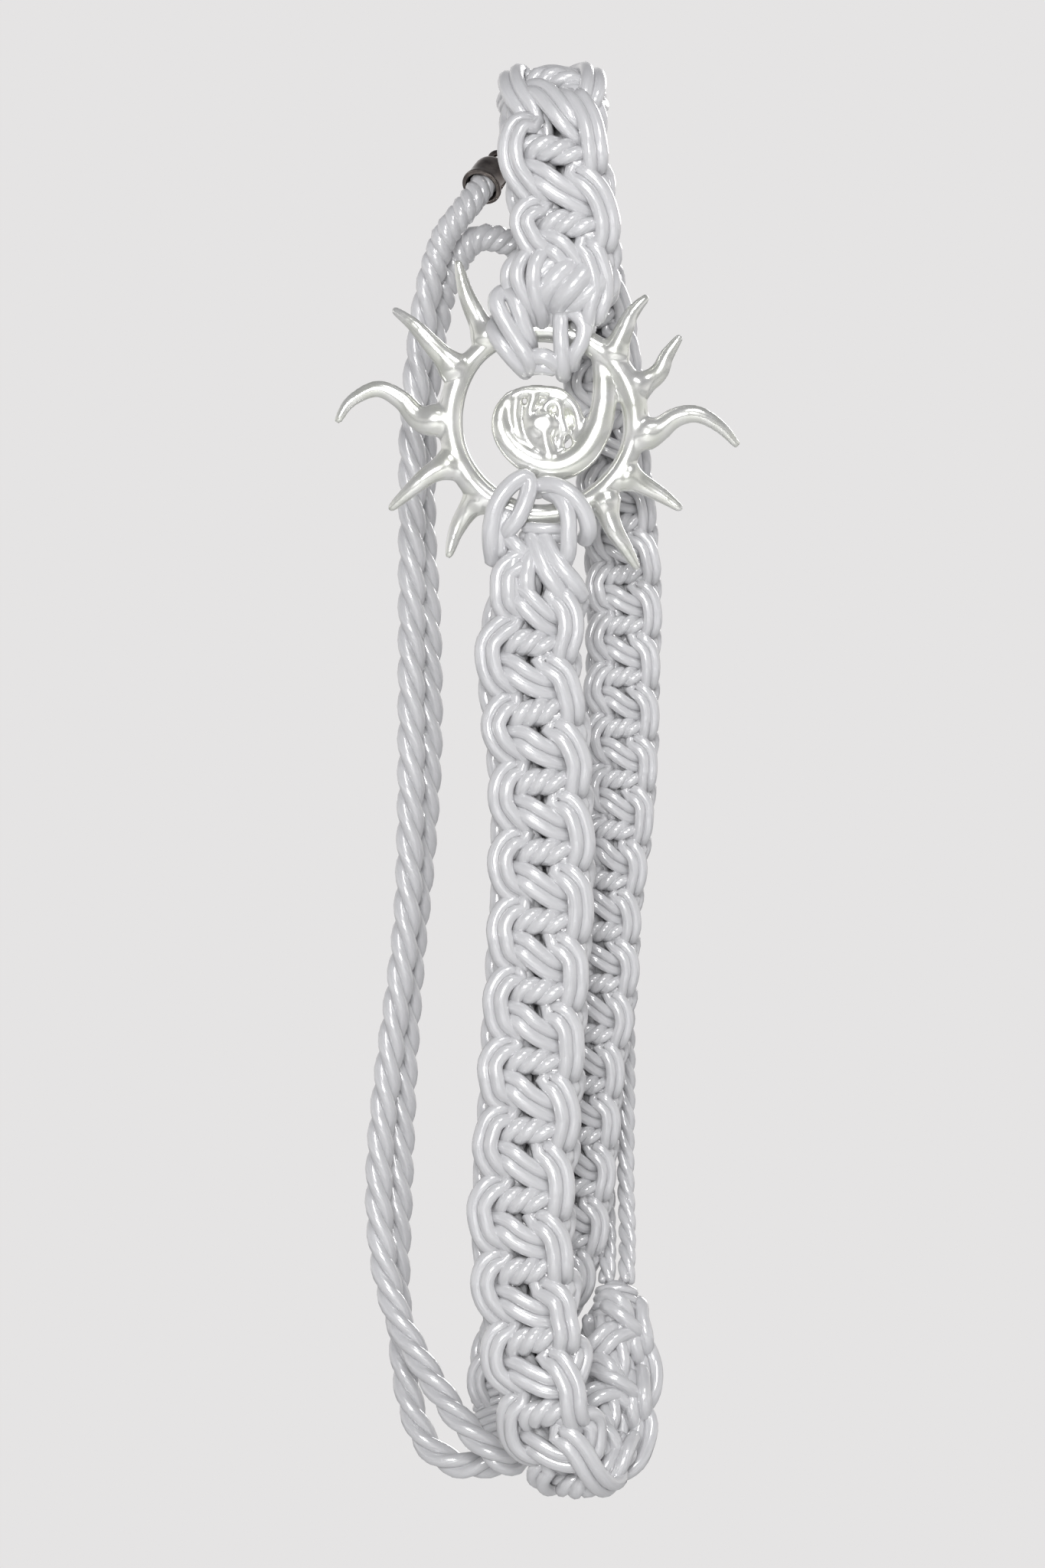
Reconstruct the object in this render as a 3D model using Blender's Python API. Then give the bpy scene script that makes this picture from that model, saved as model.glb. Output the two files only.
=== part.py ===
"""A rope belt of square-knot macrame with a cast sun, folded and hanging from a hook.

Metres, +Z up, +Y away from the viewer. The origin is the underside of the top fold,
where a hook bears. The macrame bands are solids with the outline and ribs of their
knots, and the plain ropes are round tubes.
"""

import math

import bmesh
import bpy
import numpy as np

MM = 0.001

# Ropes
ROPE_DIAMETER = 4.6 * MM
THIN_ROPE_DIAMETER = 2.9 * MM
ROPE_STEP = 6.0 * MM

# Macrame bands
BAND_WIDTH = 17.0 * MM
BAND_THICKNESS = 12.0 * MM
KNOT_PITCH = 11.3 * MM
FOLD_INNER_RADIUS = 4.5 * MM
FRONT_DEPTH = 10.5 * MM
HANG_DROP = 221.0 * MM
REAR_DROP = 203.4 * MM

# Sun ornament
SUN_DROP = 46.5 * MM
SUN_OFFSET = -0.9 * MM
RING_RADIUS = 15.0 * MM
RING_WIDTH = 4.2 * MM
RING_DEPTH = 3.8 * MM
RAY_BASE = 3.7 * MM
RAY_TIP = 1.0 * MM
RAY_STEP = 2.6 * MM
SPIRAL_WIDTH = 4.4 * MM
SPIRAL_DEPTH = 3.4 * MM
SPIRAL_FORWARD = 0.2 * MM
CUP_RADIUS = 3.6 * MM

# Rope loops that hold the sun, whose plies spread sideways round the ring
LOOP_THICKNESS = 3.0 * MM
LOOP_WIDTH = 5.8 * MM
LOOP_CLEARANCE = 0.4 * MM
LOOP_BAND_CLEARANCE = 0.9 * MM
BRIDGE_HEIGHT = 2.8 * MM
BRIDGE_DEPTH = 3.3 * MM
BRIDGE_STEP = 2.0 * MM

# Wraps at the ends of the macrame
REAR_WRAP_WIDTH = 9.6 * MM
REAR_WRAP_LENGTH = 7.6 * MM
LOWER_WRAP_WIDTH = 7.0 * MM
LOWER_WRAP_LENGTH = 5.2 * MM
WRAP_CORD = 1.3 * MM
WRAP_DENT = 0.6 * MM

# End caps and clasp
CAP_WALL = 0.5 * MM
CAP_BORE_CLEARANCE = 0.4 * MM
CAP_LENGTH = 6.4 * MM
CAP_END = 1.4 * MM
CAP_RIM_LENGTH = 0.7 * MM
CAP_RIM_HEIGHT = 0.15 * MM
CAP_GROOVE_LENGTH = 0.3 * MM
CAP_GROOVE_DEPTH = 0.1 * MM
CLASP_WIRE = 2.4 * MM
CLASP_STEP = 3.0 * MM
CLASP_EYE_RADIUS = 1.5 * MM
CLASP_EYE_WIRE = 1.1 * MM
SOCKET_WIDTH = 7.6 * MM
SOCKET_DEPTH = 4.8 * MM
SOCKET_LENGTH = 8.0 * MM
SOCKET_OVERLAP = 1.0 * MM

GAP = 0.3 * MM

# Shapes as shares: how the knots dent a band's thickness and width, how square its
# section is, where its fold lies across in band widths, and how flat the smaller parts are
RIB_DENT = 0.13
EDGE_DENT = 0.16
BAND_SQUARENESS = 0.75
FOLD_SHIFT = 0.07
RING_SWELL = 0.10
RAY_FLATNESS = 0.9
WRAP_FLATNESS = 0.78

# How finely the solids are divided
STATIONS_PER_KNOT = 6
SECTION_POINTS = 10
FOLD_DEGREES = (150, 120, 90, 60, 30)
RING_STATIONS = 36
LOOP_STATIONS = 16
CREASE_DEGREES = 50

WHITE_SATIN = (0.80, 0.80, 0.83, 1.0)
PEARL_SILVER = (0.86, 0.86, 0.82, 1.0)
GUNMETAL = (0.20, 0.18, 0.17, 1.0)

# The rear strand below the fold: x in band widths, y in front depths, z in rear drops,
# width and thickness as shares
REAR_STRAND = [
    (0.11, 1.00, -0.025, 1.00, 1.00),
    (0.20, 1.00, -0.090, 1.00, 1.00),
    (0.41, 1.00, -0.164, 1.00, 1.00),
    (0.60, 1.00, -0.259, 1.00, 1.00),
    (0.65, 1.00, -0.358, 1.00, 1.00),
    (0.61, 1.00, -0.458, 1.00, 1.00),
    (0.56, 1.00, -0.537, 1.00, 1.00),
    (0.45, 1.00, -0.617, 1.00, 1.00),
    (0.39, 1.00, -0.682, 1.00, 1.00),
    (0.27, 1.00, -0.751, 1.00, 1.00),
    (0.20, 1.02, -0.826, 1.00, 1.00),
    (0.09, 1.10, -0.886, 1.00, 1.00),
    (-0.10, 1.24, -0.930, 0.94, 0.98),
    (-0.29, 1.34, -0.960, 0.82, 0.92),
    (-0.40, 1.39, -0.984, 0.70, 0.82),
    (-0.43, 1.40, -1.000, 0.60, 0.72),
]

# The front of the upper band, from the sun up to the fold, as in the rear strand,
# z in drops from the hook to the band's lower end
UPPER_FRONT = [
    (0.18, -1.0, -1.00, 0.66, 0.74),
    (0.19, -1.0, -0.88, 0.92, 0.94),
    (0.22, -1.0, -0.70, 1.00, 1.00),
    (0.17, -1.0, -0.45, 1.00, 1.00),
    (0.10, -1.0, -0.22, 1.00, 1.00),
]

# The lower band, from the sun over the bottom fold to the lower wrap: x in band widths,
# y in front depths, z as a share of the drop left below the band's start, width and
# thickness as shares, and yaw in degrees
LOWER_STRAND = [
    (-0.07, -1.00, 0.000, 0.62, 0.72, 0),
    (-0.07, -1.00, -0.030, 0.90, 0.92, 0),
    (-0.20, -1.00, -0.125, 0.98, 1.00, 0),
    (-0.11, -1.00, -0.208, 1.00, 1.00, 0),
    (-0.06, -1.00, -0.345, 1.00, 1.00, 0),
    (-0.12, -1.00, -0.480, 1.00, 1.00, 0),
    (-0.19, -1.00, -0.615, 1.00, 1.00, 0),
    (-0.25, -1.00, -0.736, 1.00, 1.00, -4),
    (-0.18, -1.00, -0.818, 1.00, 1.00, -10),
    (-0.07, -1.00, -0.892, 1.00, 1.00, -18),
    (0.06, -0.93, -0.952, 1.00, 0.98, -27),
    (0.26, -0.56, -1.000, 1.00, 0.94, -30),
    (0.45, -0.04, -0.978, 1.00, 0.96, -30),
    (0.53, 0.30, -0.942, 0.98, 0.96, -28),
    (0.60, 0.58, -0.895, 0.84, 0.88, -20),
    (0.64, 0.76, -0.852, 0.56, 0.62, -10),
]

# Centre lines of the plain ropes in millimetres, chosen by hand
FRONT_LEFT_ROPE = [
    (-10.9, 14.6, -6.9),
    (-12.6, 12.6, -9.4),
    (-14.8, 12.0, -12.2),
    (-17.1, 12.4, -15.6),
    (-19.3, 13.8, -22.6),
    (-20.7, 15.2, -31.0),
    (-22.1, 16.0, -45.0),
    (-22.3, 16.2, -62.0),
    (-22.4, 16.2, -88.0),
    (-22.6, 16.2, -113.0),
    (-23.4, 16.2, -130.0),
    (-26.2, 16.2, -152.0),
    (-27.5, 16.2, -165.0),
    (-27.7, 15.9, -176.0),
    (-26.6, 15.0, -186.0),
    (-24.3, 13.6, -193.6),
    (-20.6, 11.6, -200.6),
    (-15.9, 9.4, -207.6),
    (-11.9, 8.3, -212.2),
    (-8.2, 8.4, -215.4),
    (-5.8, 10.4, -216.8),
    (-5.2, 12.1, -215.2),
    (-5.4, 12.3, -213.8),
    (-5.5, 12.3, -212.2),
]
REAR_LEFT_ROPE = [
    (-5.0, 18.2, -16.2),
    (-8.7, 17.0, -15.1),
    (-11.8, 16.8, -15.3),
    (-14.4, 17.4, -18.0),
    (-16.6, 18.8, -22.4),
    (-18.3, 20.2, -29.0),
    (-20.2, 21.0, -43.0),
    (-20.6, 21.2, -62.0),
    (-19.7, 21.2, -80.0),
    (-19.6, 21.2, -100.0),
    (-20.8, 21.2, -118.0),
    (-22.4, 21.2, -134.0),
    (-23.7, 21.2, -153.0),
    (-24.5, 21.2, -174.0),
    (-24.9, 21.2, -187.0),
    (-24.1, 21.0, -197.0),
    (-22.6, 20.6, -207.6),
    (-19.6, 20.0, -214.6),
    (-15.0, 19.2, -217.6),
    (-10.2, 18.6, -217.7),
    (-6.8, 18.0, -216.6),
    (-5.5, 17.5, -214.6),
    (-5.6, 17.4, -212.4),
]
RIGHT_ROPE = [
    (13.0, 9.8, -186.9),
    (13.1, 11.0, -183.8),
    (13.2, 15.0, -178.4),
    (13.0, 18.0, -169.0),
    (13.2, 18.4, -152.0),
    (13.0, 18.4, -136.0),
    (12.7, 18.4, -118.0),
    (12.9, 18.4, -96.0),
    (12.5, 18.4, -74.0),
    (10.8, 18.5, -54.0),
    (8.4, 19.4, -40.0),
    (7.0, 20.6, -33.0),
    (7.0, 20.8, -29.6),
]
MIDDLE_ROPE = [
    (9.8, 9.8, -186.9),
    (9.9, 11.4, -184.0),
    (10.0, 15.2, -179.9),
    (9.9, 18.2, -173.0),
    (10.0, 18.6, -152.0),
    (9.8, 18.6, -136.0),
    (9.5, 18.6, -118.0),
    (9.6, 18.6, -96.0),
    (9.2, 18.6, -74.0),
    (7.4, 18.7, -54.0),
    (5.0, 19.4, -40.0),
    (3.7, 20.6, -33.0),
    (3.7, 20.8, -29.6),
]

# The middle line of the clasp's bar in millimetres, from its eye down to its socket
CLASP_BAR = [
    (-7.0, 22.2, -1.8),
    (-5.7, 22.3, -5.0),
    (-3.6, 21.9, -8.9),
    (0.2, 21.7, -12.9),
    (3.2, 21.4, -16.6),
    (5.3, 20.9, -21.0),
]

# Axes of the two left end caps, from the mouth inward
UPPER_CAP_AXIS = (0.36, 0.72, 0.60)
LOWER_CAP_AXIS = (0.86, 0.42, -0.28)

# Rays and spiral around the sun's centre, in ring radii, from the ring outward or inward
RAYS = [
    [(-0.54, 0.83), (-0.72, 1.16), (-0.83, 1.41), (-0.91, 1.73)],
    [(-0.86, 0.50), (-1.16, 0.80), (-1.39, 1.05), (-1.60, 1.21)],
    [(-1.06, 0.02), (-1.32, 0.04), (-1.52, 0.24), (-1.78, 0.36), (-2.07, 0.22), (-2.21, 0.01)],
    [(-0.94, -0.43), (-1.20, -0.56), (-1.41, -0.73), (-1.64, -0.94)],
    [(-0.62, -0.78), (-0.79, -0.94), (-0.93, -1.18), (-1.01, -1.45)],
    [(0.66, -0.80), (0.76, -1.13), (0.90, -1.36), (1.03, -1.58)],
    [(0.90, -0.58), (1.15, -0.71), (1.32, -0.81), (1.50, -0.94)],
    [(1.04, -0.16), (1.26, -0.08), (1.45, 0.05), (1.68, 0.08), (1.92, -0.05), (2.11, -0.25)],
    [(1.00, 0.36), (1.25, 0.52), (1.35, 0.72), (1.49, 0.92)],
    [(0.78, 0.72), (0.89, 1.00), (0.97, 1.17), (1.13, 1.35)],
]
SPIRAL = [
    (0.66, 0.80),
    (0.61, 0.58),
    (0.60, 0.30),
    (0.58, -0.03),
    (0.45, -0.28),
    (0.25, -0.42),
    (0.00, -0.44),
    (-0.21, -0.34),
    (-0.33, -0.12),
    (-0.32, 0.10),
    (-0.19, 0.23),
    (-0.01, 0.25),
    (0.13, 0.14),
]
# Where the four loops go round the ring, in degrees from +X
UPPER_LOOP_ANGLES = (109.0, 71.0)
LOWER_LOOP_ANGLES = (249.0, 285.0)

# Turned profiles as (radius, height): the cup at the spiral's heart in cup radii, its
# middle in ring radii, and the clasp's socket in half widths and lengths
CUP_PROFILE = [(0.55, -0.28), (0.95, -0.22), (1.0, 0.05), (0.85, 0.22), (0.35, 0.06)]
CUP_MIDDLE = (-0.04, -0.08)
SOCKET_PROFILE = [(0.9, -1.0), (1.0, -0.93), (1.0, -0.25), (0.6, 0.05)]
CAP_SHOULDER = 0.62


def clear_scene():
    for obj in list(bpy.data.objects):
        bpy.data.objects.remove(obj, do_unlink=True)


def material(name, color, roughness, metallic):
    made = bpy.data.materials.new(name)
    made.use_nodes = True
    shader = made.node_tree.nodes["Principled BSDF"]
    shader.inputs["Base Color"].default_value = color
    shader.inputs["Roughness"].default_value = roughness
    shader.inputs["Metallic"].default_value = metallic
    made.diffuse_color = color
    return made


def satin(name):
    return material(name + "_satin", WHITE_SATIN, 0.38, 0.0)


def smooth_line(points, step):
    """Points about step apart along a smooth curve through the given points."""
    given = np.array(points, float)
    padded = np.vstack([2 * given[0] - given[1], given, 2 * given[-1] - given[-2]])
    fine = []
    for i in range(1, len(padded) - 2):
        a, b, c, d = padded[i - 1], padded[i], padded[i + 1], padded[i + 2]
        for t in np.linspace(0, 1, 24, endpoint=False):
            fine.append(
                0.5 * (2 * b + (c - a) * t + (2 * a - 5 * b + 4 * c - d) * t**2
                       + (3 * b - a - 3 * c + d) * t**3)
            )
    fine.append(given[-1])
    fine = np.array(fine)
    lengths = np.linalg.norm(np.diff(fine[:, :3], axis=0), axis=1)
    along = np.concatenate([[0], np.cumsum(lengths)])
    count = max(3, round(along[-1] / step) + 1)
    at = np.linspace(0, along[-1], count)
    return np.stack([np.interp(at, along, fine[:, k]) for k in range(fine.shape[1])], axis=1)


def unit(v):
    return v / np.linalg.norm(v)


def tangents(points):
    return np.array([unit(t) for t in np.gradient(points, axis=0)])


def mesh_object(name, vertices, faces, finish):
    """An object with its faces turned outward."""
    mesh = bpy.data.meshes.new(name)
    mesh.from_pydata([tuple(v) for v in vertices], [], faces)
    edit = bmesh.new()
    edit.from_mesh(mesh)
    bmesh.ops.recalc_face_normals(edit, faces=edit.faces)
    if edit.calc_volume(signed=True) < 0:
        bmesh.ops.reverse_faces(edit, faces=edit.faces)
    edit.to_mesh(mesh)
    edit.free()
    mesh.shade_smooth()
    mesh.set_sharp_from_angle(angle=math.radians(CREASE_DEGREES))
    obj = bpy.data.objects.new(name, mesh)
    obj.data.materials.append(finish)
    bpy.context.scene.collection.objects.link(obj)
    return obj


def skin(rings, closed=False):
    """Vertices and faces of a tube over a list of rings, its ends filled unless closed."""
    count = len(rings[0])
    vertices = [v for ring in rings for v in ring]
    faces = []
    for i in range(len(rings) if closed else len(rings) - 1):
        here = i * count
        there = (i + 1) % len(rings) * count
        for j in range(count):
            k = (j + 1) % count
            faces.append((here + j, here + k, there + k, there + j))
    if not closed:
        faces.append(tuple(range(count)))
        faces.append(tuple(range(len(vertices) - count, len(vertices))))
    return vertices, faces


def ellipse_ring(centre, across, deep, half_width, half_depth, count):
    ring = []
    for k in range(count):
        angle = 2 * math.pi * (k + 0.5) / count
        u = math.cos(angle) * half_width
        w = math.sin(angle) * half_depth
        ring.append(centre + u * across + w * deep)
    return ring


def turned(name, profile, sides, centre, axis, finish, flat=1.0):
    """A closed turned solid: profile rows are (radius, height) from the base up."""
    z = unit(np.array(axis, float))
    x = unit(np.cross(z, (0.0, 1.0, 0.0)))
    y = np.cross(z, x)
    rings = []
    for radius, height in profile:
        middle = np.array(centre, float) + z * height
        rings.append(ellipse_ring(middle, x, y, radius, radius * flat, sides))
    vertices, faces = skin(rings)
    return mesh_object(name, vertices, faces, finish)


def union(base, others):
    """Joins the others into base, which stays one solid."""
    for other in others:
        cut = base.modifiers.new("join", "BOOLEAN")
        cut.operation = "UNION"
        cut.solver = "EXACT"
        cut.object = other
        graph = bpy.context.evaluated_depsgraph_get()
        joined = bpy.data.meshes.new_from_object(base.evaluated_get(graph))
        base.modifiers.clear()
        base.data = joined
        bpy.data.objects.remove(other, do_unlink=True)
    base.data.shade_smooth()
    base.data.set_sharp_from_angle(angle=math.radians(CREASE_DEGREES))
    return base


def squared(share):
    """A sine or cosine made squarer, so that the section's corners fill out."""
    return math.copysign(abs(share) ** BAND_SQUARENESS, share)


def knotted_band(name, rows):
    """A band along rows of (x, y, z, width share, thickness share, yaw), with the knots'
    ribs across its faces and their loops along its edges. It gives back the middle of
    its far end and the direction there."""
    knot_step = KNOT_PITCH / STATIONS_PER_KNOT
    line = smooth_line(rows, knot_step)
    centres = line[:, :3]
    along = np.concatenate([[0], np.cumsum(np.linalg.norm(np.diff(centres, axis=0), axis=1))])
    rings = []
    for centre, tangent, row, distance in zip(centres, tangents(centres), line, along):
        yaw = math.radians(row[5])
        hint = np.array([math.cos(yaw), math.sin(yaw), 0.0])
        across = unit(hint - hint.dot(tangent) * tangent)
        deep = np.cross(tangent, across)
        turn = 2 * math.pi * distance / KNOT_PITCH
        rib = 1 - RIB_DENT * (0.5 - 0.5 * math.cos(2 * turn))
        ring = []
        for k in range(SECTION_POINTS):
            angle = 2 * math.pi * (k + 0.5) / SECTION_POINTS
            c, s = math.cos(angle), math.sin(angle)
            phase = 0.0 if c > 0 else math.pi
            edge = 1 - EDGE_DENT * (0.5 - 0.5 * math.cos(turn + phase))
            u = squared(c) * row[3] * edge * BAND_WIDTH / 2
            w = squared(s) * row[4] * rib * BAND_THICKNESS / 2
            ring.append(centre + u * across + w * deep)
        rings.append(ring)
    vertices, faces = skin(rings)
    mesh_object(name, vertices, faces, satin(name))
    return centres[-1], tangents(centres)[-1]


def loop_radius():
    """Centre-line radius of a rope loop round the ring's section."""
    return (RING_WIDTH + LOOP_THICKNESS) / 2 + LOOP_CLEARANCE


def loops_reach(degrees):
    """How far above or below the sun's centre the loops at that angle reach."""
    radius = RING_RADIUS + loop_radius() + LOOP_THICKNESS / 2
    return radius * abs(math.sin(math.radians(degrees)))


def sun_point(x, z, y=0.0):
    """A point of the sun from shares of the ring's radius."""
    return np.array([
        SUN_OFFSET + x * RING_RADIUS,
        -FRONT_DEPTH + y,
        -SUN_DROP + z * RING_RADIUS,
    ])


def upper_band_drop():
    """How far the upper band's lower end lies below the hook."""
    return SUN_DROP - loops_reach(UPPER_LOOP_ANGLES[0]) - LOOP_BAND_CLEARANCE


def lower_band_start():
    """How far the lower band's upper end lies below the hook."""
    return SUN_DROP + loops_reach(LOWER_LOOP_ANGLES[1]) + LOOP_BAND_CLEARANCE


def upper_band_rows():
    """From the sun up the front, over the fold and down behind."""
    drop = upper_band_drop()
    rows = [
        (x * BAND_WIDTH, y * FRONT_DEPTH, z * drop, width, thick, 0.0)
        for x, y, z, width, thick in UPPER_FRONT
    ]
    radius = FOLD_INNER_RADIUS + BAND_THICKNESS / 2
    for degrees in FOLD_DEGREES:
        turn = math.radians(degrees)
        rows.append((
            FOLD_SHIFT * BAND_WIDTH,
            math.cos(turn) * radius,
            math.sin(turn) * radius - FOLD_INNER_RADIUS,
            1.0,
            1.0,
            0.0,
        ))
    rows += [
        (x * BAND_WIDTH, y * FRONT_DEPTH, z * REAR_DROP, width, thick, 0.0)
        for x, y, z, width, thick in REAR_STRAND
    ]
    return rows


def lower_band_rows():
    """From the sun down the front, round the bottom fold and up to the lower wrap."""
    start = lower_band_start()
    lowest = HANG_DROP - BAND_THICKNESS / 2
    return [
        (x * BAND_WIDTH, y * FRONT_DEPTH, -start + z * (lowest - start), width, thick, yaw)
        for x, y, z, width, thick, yaw in LOWER_STRAND
    ]


def swept(name, points, sizes, sides, finish):
    """A rod over the points, each with its (width, depth); depth lies along Y."""
    backward = np.array([0.0, 1.0, 0.0])
    rings = []
    for point, tangent, size in zip(points, tangents(points), sizes):
        deep = unit(backward - backward.dot(tangent) * tangent)
        across = np.cross(tangent, deep)
        rings.append(ellipse_ring(point, across, deep, size[0] / 2, size[1] / 2, sides))
    vertices, faces = skin(rings)
    return mesh_object(name, vertices, faces, finish)


def sun():
    """The cast sun: a ring, wavy rays outside it and a spiral inside it."""
    finish = material("sun_pearl_silver", PEARL_SILVER, 0.16, 1.0)
    rings = []
    for k in range(RING_STATIONS):
        angle = 2 * math.pi * k / RING_STATIONS
        outward = np.array([math.cos(angle), 0.0, math.sin(angle)])
        middle = sun_point(math.cos(angle), math.sin(angle))
        width = RING_WIDTH * (1 - RING_SWELL * math.sin(angle))
        deep = np.array([0.0, 1.0, 0.0])
        rings.append(ellipse_ring(middle, outward, deep, width / 2, RING_DEPTH / 2, 8))
    vertices, faces = skin(rings, closed=True)
    body = mesh_object("sun_ornament", vertices, faces, finish)
    parts = []
    for i, ray in enumerate(RAYS):
        line = smooth_line([sun_point(x, z) for x, z in ray], RAY_STEP)
        sizes = []
        for t in np.linspace(0, 1, len(line)):
            width = RAY_BASE + (RAY_TIP - RAY_BASE) * t**0.8
            sizes.append((width, width * RAY_FLATNESS))
        parts.append(swept(f"ray_{i}", line, sizes, 7, finish))
    line = smooth_line([sun_point(x, z, -SPIRAL_FORWARD) for x, z in SPIRAL], RAY_STEP)
    sizes = []
    for t in np.linspace(0, 1, len(line)):
        swell = 0.62 + 0.38 * math.sin(math.pi * min(1.0, 0.15 + t)) ** 0.7
        sizes.append((SPIRAL_WIDTH * swell, SPIRAL_DEPTH * swell))
    parts.append(swept("spiral", line, sizes, 8, finish))
    profile = [(CUP_RADIUS * r, CUP_RADIUS * h) for r, h in CUP_PROFILE]
    parts.append(turned("cup", profile, 12, sun_point(*CUP_MIDDLE), (0, -1, 0.001), finish))
    return union(body, parts)


def rope_loops(name, angles, side):
    """Two rope loops round the ring's section, joined inside the ring at side -1 and
    outside it at side 1."""
    finish = satin(name)
    made = []
    joined = []
    for i, degrees in enumerate(angles):
        angle = math.radians(degrees)
        outward = np.array([math.cos(angle), 0.0, math.sin(angle)])
        sideways = np.array([-math.sin(angle), 0.0, math.cos(angle)])
        centre = sun_point(math.cos(angle), math.sin(angle))
        radius = loop_radius()
        rings = []
        for k in range(LOOP_STATIONS):
            turn = 2 * math.pi * k / LOOP_STATIONS
            spoke = outward * math.cos(turn) + np.array([0.0, math.sin(turn), 0.0])
            middle = centre + spoke * radius
            half = (LOOP_THICKNESS / 2, LOOP_WIDTH / 2)
            rings.append(ellipse_ring(middle, spoke, sideways, *half, 8))
        vertices, faces = skin(rings, closed=True)
        made.append(mesh_object(f"{name}_{i}", vertices, faces, finish))
        joined.append(centre + outward * radius * side)
    between = math.radians(sum(angles) / 2)
    reach = 1 + side * loop_radius() / RING_RADIUS
    middle = sun_point(math.cos(between) * reach, math.sin(between) * reach)
    bridge = smooth_line([joined[0], middle, joined[1]], BRIDGE_STEP)
    sizes = [(BRIDGE_HEIGHT, BRIDGE_DEPTH)] * len(bridge)
    bar = swept(f"{name}_bar", bridge, sizes, 8, finish)
    base = union(made[0], [bar, made[1]])
    base.name = name
    return base


def rope(name, route, diameter):
    """A plain rope as a round tube along its route."""
    line = smooth_line(np.array(route) * MM, ROPE_STEP)
    curve = bpy.data.curves.new(name, "CURVE")
    curve.dimensions = "3D"
    curve.bevel_depth = diameter / 2
    curve.bevel_resolution = 2
    curve.use_fill_caps = True
    spline = curve.splines.new("POLY")
    spline.points.add(len(line) - 1)
    for point, place in zip(spline.points, line):
        point.co = (*place, 1.0)
    obj = bpy.data.objects.new(name, curve)
    obj.data.materials.append(satin(name))
    bpy.context.scene.collection.objects.link(obj)
    return obj


def wrap(name, band_end, width, length):
    """Turns of thin cord wound past the end of a band, given by its point and direction."""
    end, axis = band_end
    base = end + axis * GAP
    turns = max(2, round(length / WRAP_CORD))
    profile = [(width / 2 - WRAP_DENT, 0.0)]
    for k in range(turns):
        profile.append((width / 2, (k + 0.5) * length / turns))
        profile.append((width / 2 - WRAP_DENT, (k + 1) * length / turns))
    return turned(name, profile, 14, base, axis, satin(name), WRAP_FLATNESS)


def end_cap(name, mouth, axis):
    """A metal cap, bored for the rope's end and closed at its far end."""
    bore = ROPE_DIAMETER / 2 + CAP_BORE_CLEARANCE
    outer = bore + CAP_WALL
    rim = outer + CAP_RIM_HEIGHT
    body = outer - CAP_GROOVE_DEPTH
    profile = [
        (bore, CAP_LENGTH - CAP_END),
        (bore, 0.0),
        (rim, 0.0),
        (rim, CAP_RIM_LENGTH),
        (body, CAP_RIM_LENGTH + CAP_GROOVE_LENGTH),
        (body, CAP_SHOULDER * CAP_LENGTH),
        (CAP_SHOULDER * outer, CAP_LENGTH),
    ]
    finish = material(name + "_gunmetal", GUNMETAL, 0.22, 1.0)
    return turned(name, profile, 16, mouth, axis, finish)


def capped_route(route, axis):
    """A rope's route with its first point moved in along the cap's axis."""
    mouth = np.array(route[0], float)
    inward = unit(np.array(axis, float))
    seat = (CAP_LENGTH - CAP_END - GAP) / MM
    return [mouth + inward * seat, mouth + inward * 0.4 * seat, mouth, *route[1:]]


def cap_mouth(route):
    """The middle of the mouth of the cap at a route's first point."""
    return np.array(route[0], float) * MM


def clasp():
    """One plain piece: an eye at the upper cap, a bar behind the band and a socket."""
    finish = material("clasp_gunmetal", GUNMETAL, 0.22, 1.0)
    bar_line = smooth_line(np.array(CLASP_BAR) * MM, CLASP_STEP)
    sizes = [(CLASP_WIRE, CLASP_WIRE)] * len(bar_line)
    body = swept("clasp", bar_line, sizes, 10, finish)
    lean = unit(np.array(UPPER_CAP_AXIS))
    reach = CAP_LENGTH + GAP + CLASP_EYE_WIRE / 2 + CLASP_EYE_RADIUS
    eye_centre = cap_mouth(FRONT_LEFT_ROPE) + lean * reach
    side = unit(np.cross(lean, (0.3, 1.0, 0.2)))
    rings = []
    normal = np.cross(lean, side)
    half = CLASP_EYE_WIRE / 2
    for k in range(LOOP_STATIONS):
        turn = 2 * math.pi * k / LOOP_STATIONS
        spoke = lean * math.cos(turn) + side * math.sin(turn)
        middle = eye_centre + spoke * CLASP_EYE_RADIUS
        rings.append(ellipse_ring(middle, spoke, normal, half, half, 8))
    vertices, faces = skin(rings, closed=True)
    eye = mesh_object("clasp_eye", vertices, faces, finish)
    top = np.array(CLASP_BAR[-1]) * MM + [0, 0, SOCKET_OVERLAP]
    profile = [(r * SOCKET_WIDTH / 2, h * SOCKET_LENGTH) for r, h in SOCKET_PROFILE]
    socket = turned(
        "clasp_socket", profile, 14, top, (0, 0.001, 1), finish, SOCKET_DEPTH / SOCKET_WIDTH
    )
    return union(body, [eye, socket])


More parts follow.
